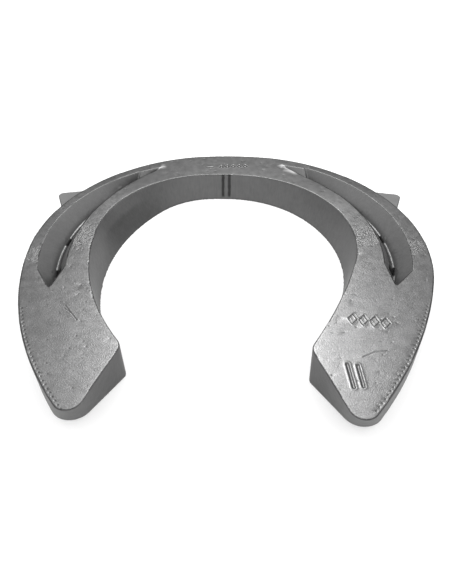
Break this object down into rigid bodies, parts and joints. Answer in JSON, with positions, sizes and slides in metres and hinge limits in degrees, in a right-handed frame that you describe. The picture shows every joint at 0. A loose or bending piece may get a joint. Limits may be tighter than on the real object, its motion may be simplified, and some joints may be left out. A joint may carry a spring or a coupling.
{
  "type": "horseshoe",
  "caption": "Front horseshoe in forged aluminium: open U-shaped bar with a nail crease in each branch, rectangular nail holes, wedge-shaped heels and a side clip on each quarter.",
  "frame": {"origin": "centre of the shoe's outline on the foot face, which lies on z = 0", "axes": "+Z from the foot face to the ground face, +Y towards the toe, +X towards the right branch as seen from the ground face with the toe up"},
  "size_m": [0.1402, 0.1394, 0.0138],
  "materials": {
    "forged_aluminium": "as forged, satin, lightly tumbled",
    "clip_aluminium": "as forged, satin"
  },
  "bodies": {
    "root": {"shoe_body": "forged_aluminium", "left_side_clip": "clip_aluminium", "right_side_clip": "clip_aluminium"}
  },
  "joints": []
}
